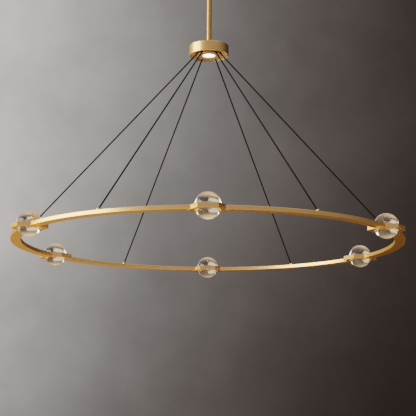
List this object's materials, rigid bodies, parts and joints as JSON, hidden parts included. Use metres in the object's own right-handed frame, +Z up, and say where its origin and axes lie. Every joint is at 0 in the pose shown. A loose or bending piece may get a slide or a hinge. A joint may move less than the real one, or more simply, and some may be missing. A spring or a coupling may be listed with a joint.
{
  "type": "ring chandelier",
  "caption": "Flat brass ring with hexagonal collars holding crystal spheres, slung on black cords from a drum hub with a downlight, on a stem with a hang-straight ceiling canopy.",
  "frame": {"origin": "on the ceiling plane, on the stem's axis, at the middle of the mounting strap's two screw slots", "axes": "+Z up into the ceiling, +X along the mounting strap and towards one cord, +Y away from the picture's camera and towards one collar"},
  "size_m": [1.448, 1.523, 1.158],
  "materials": {
    "brass": "fine brushed, lacquered",
    "crystal": "polished solid crystal",
    "cord": "fine black braid",
    "steel": "zinc plated",
    "lens": "frosted, lit from behind",
    "board": "white solder mask",
    "wire": "satin insulation",
    "grip": "moulded",
    "driver": "moulded",
    "aluminium": "die cast"
  },
  "bodies": {
    "ceiling_mount": {"mounting_plate": "steel", "hanger_bolt": "steel", "plate_nut": "steel", "canopy": "brass", "canopy_screws": "brass", "led_driver": "driver", "driver_screws": "steel"},
    "swivel": {"swivel_cap": "steel", "swivel_tongue": "steel"},
    "chandelier": {"ring_bar_1": "brass", "ring_bar_2": "brass", "ring_bar_3": "brass", "ring_bar_4": "brass", "ring_bar_5": "brass", "ring_bar_6": "brass", "hex_collar_1": "brass", "hex_collar_2": "brass", "hex_collar_3": "brass", "hex_collar_4": "brass", "hex_collar_5": "brass", "hex_collar_6": "brass", "cord_ferrules": "brass", "hub_shell": "brass", "hub_base_plate": "brass", "downlight_bezel": "brass", "stem": "brass", "swivel_ball": "brass", "crystal_upper_1": "crystal", "crystal_upper_2": "crystal", "crystal_upper_3": "crystal", "crystal_upper_4": "crystal", "crystal_upper_5": "crystal", "crystal_upper_6": "crystal", "crystal_lower_1": "crystal", "crystal_lower_2": "crystal", "crystal_lower_3": "crystal", "crystal_lower_4": "crystal", "crystal_lower_5": "crystal", "crystal_lower_6": "crystal", "cord_1": "cord", "cord_2": "cord", "cord_3": "cord", "cord_4": "cord", "cord_5": "cord", "cord_6": "cord", "ferrule_nuts": "steel", "ring_joint_screws": "steel", "hub_screws": "steel", "stem_tail": "steel", "hub_nut": "steel", "pivot_pin": "steel", "dome_led_lenses": "lens", "downlight_diffuser": "lens", "dome_led_boards": "board", "downlight_led_board": "board", "junction_board": "board", "ring_leads": "wire", "feed_cable": "wire", "cord_grips": "grip", "downlight_heat_sink": "aluminium"}
  },
  "joints": [
    {"name": "swivel_turn", "type": "hinge", "parent": "ceiling_mount", "child": "swivel", "pos_m": [0, 0, -0.0116], "axis": [0, 0, 1], "range_deg": [-170, 170]},
    {"name": "stem_tilt", "type": "hinge", "parent": "swivel", "child": "chandelier", "pos_m": [0, 0, -0.0421], "axis": [1, 0, 0], "range_deg": [-30, 30]}
  ]
}
